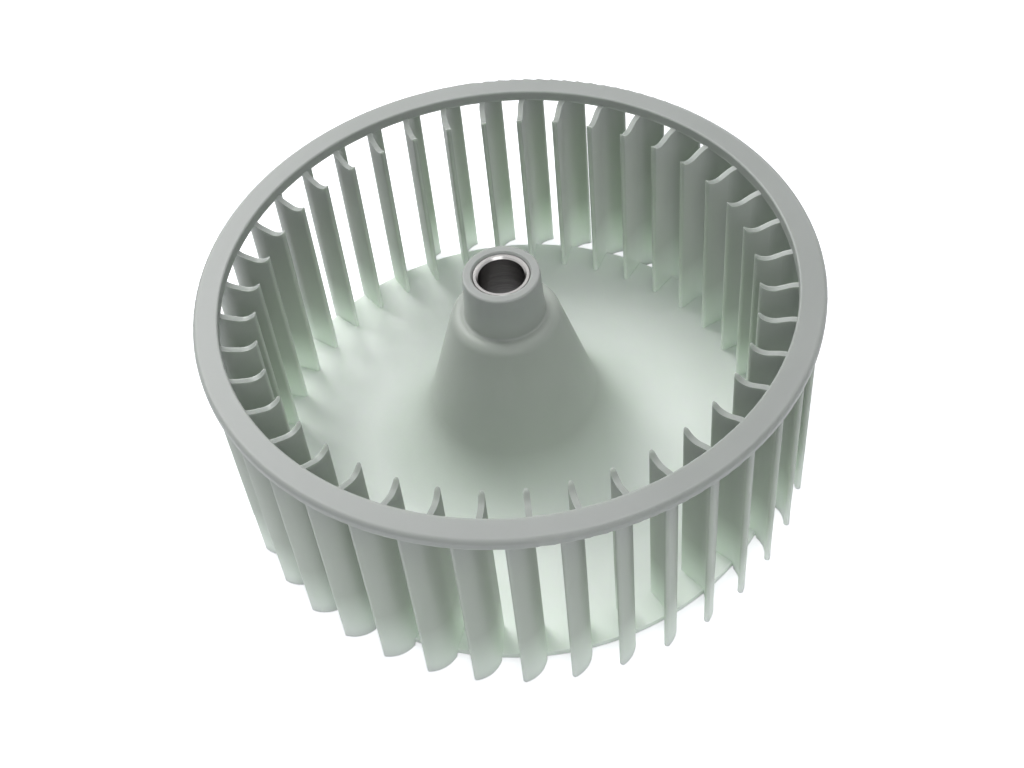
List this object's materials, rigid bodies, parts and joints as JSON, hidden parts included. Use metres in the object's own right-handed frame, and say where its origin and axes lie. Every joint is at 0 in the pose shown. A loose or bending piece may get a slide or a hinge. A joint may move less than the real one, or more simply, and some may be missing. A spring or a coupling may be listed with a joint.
{
  "type": "forward curved blower wheel",
  "caption": "Moulded squirrel-cage blower wheel: curved blades between a back plate and a rim ring, with a conical hub and a metal shaft bush.",
  "frame": {"origin": "centre of the bounding box at its bottom, on the shaft axis in the plane of the blade feet", "axes": "+Z along the shaft axis from the back plate to the open inlet side; +X and +Y across, the wheel being the same every nine degrees"},
  "size_m": [0.16, 0.16, 0.0652],
  "materials": {
    "milky_plastic": "natural translucent polypropylene, satin",
    "bush_steel": "turned and polished steel"
  },
  "bodies": {
    "root": {"fan_wheel": "milky_plastic", "hub_bush": "bush_steel"}
  },
  "joints": []
}
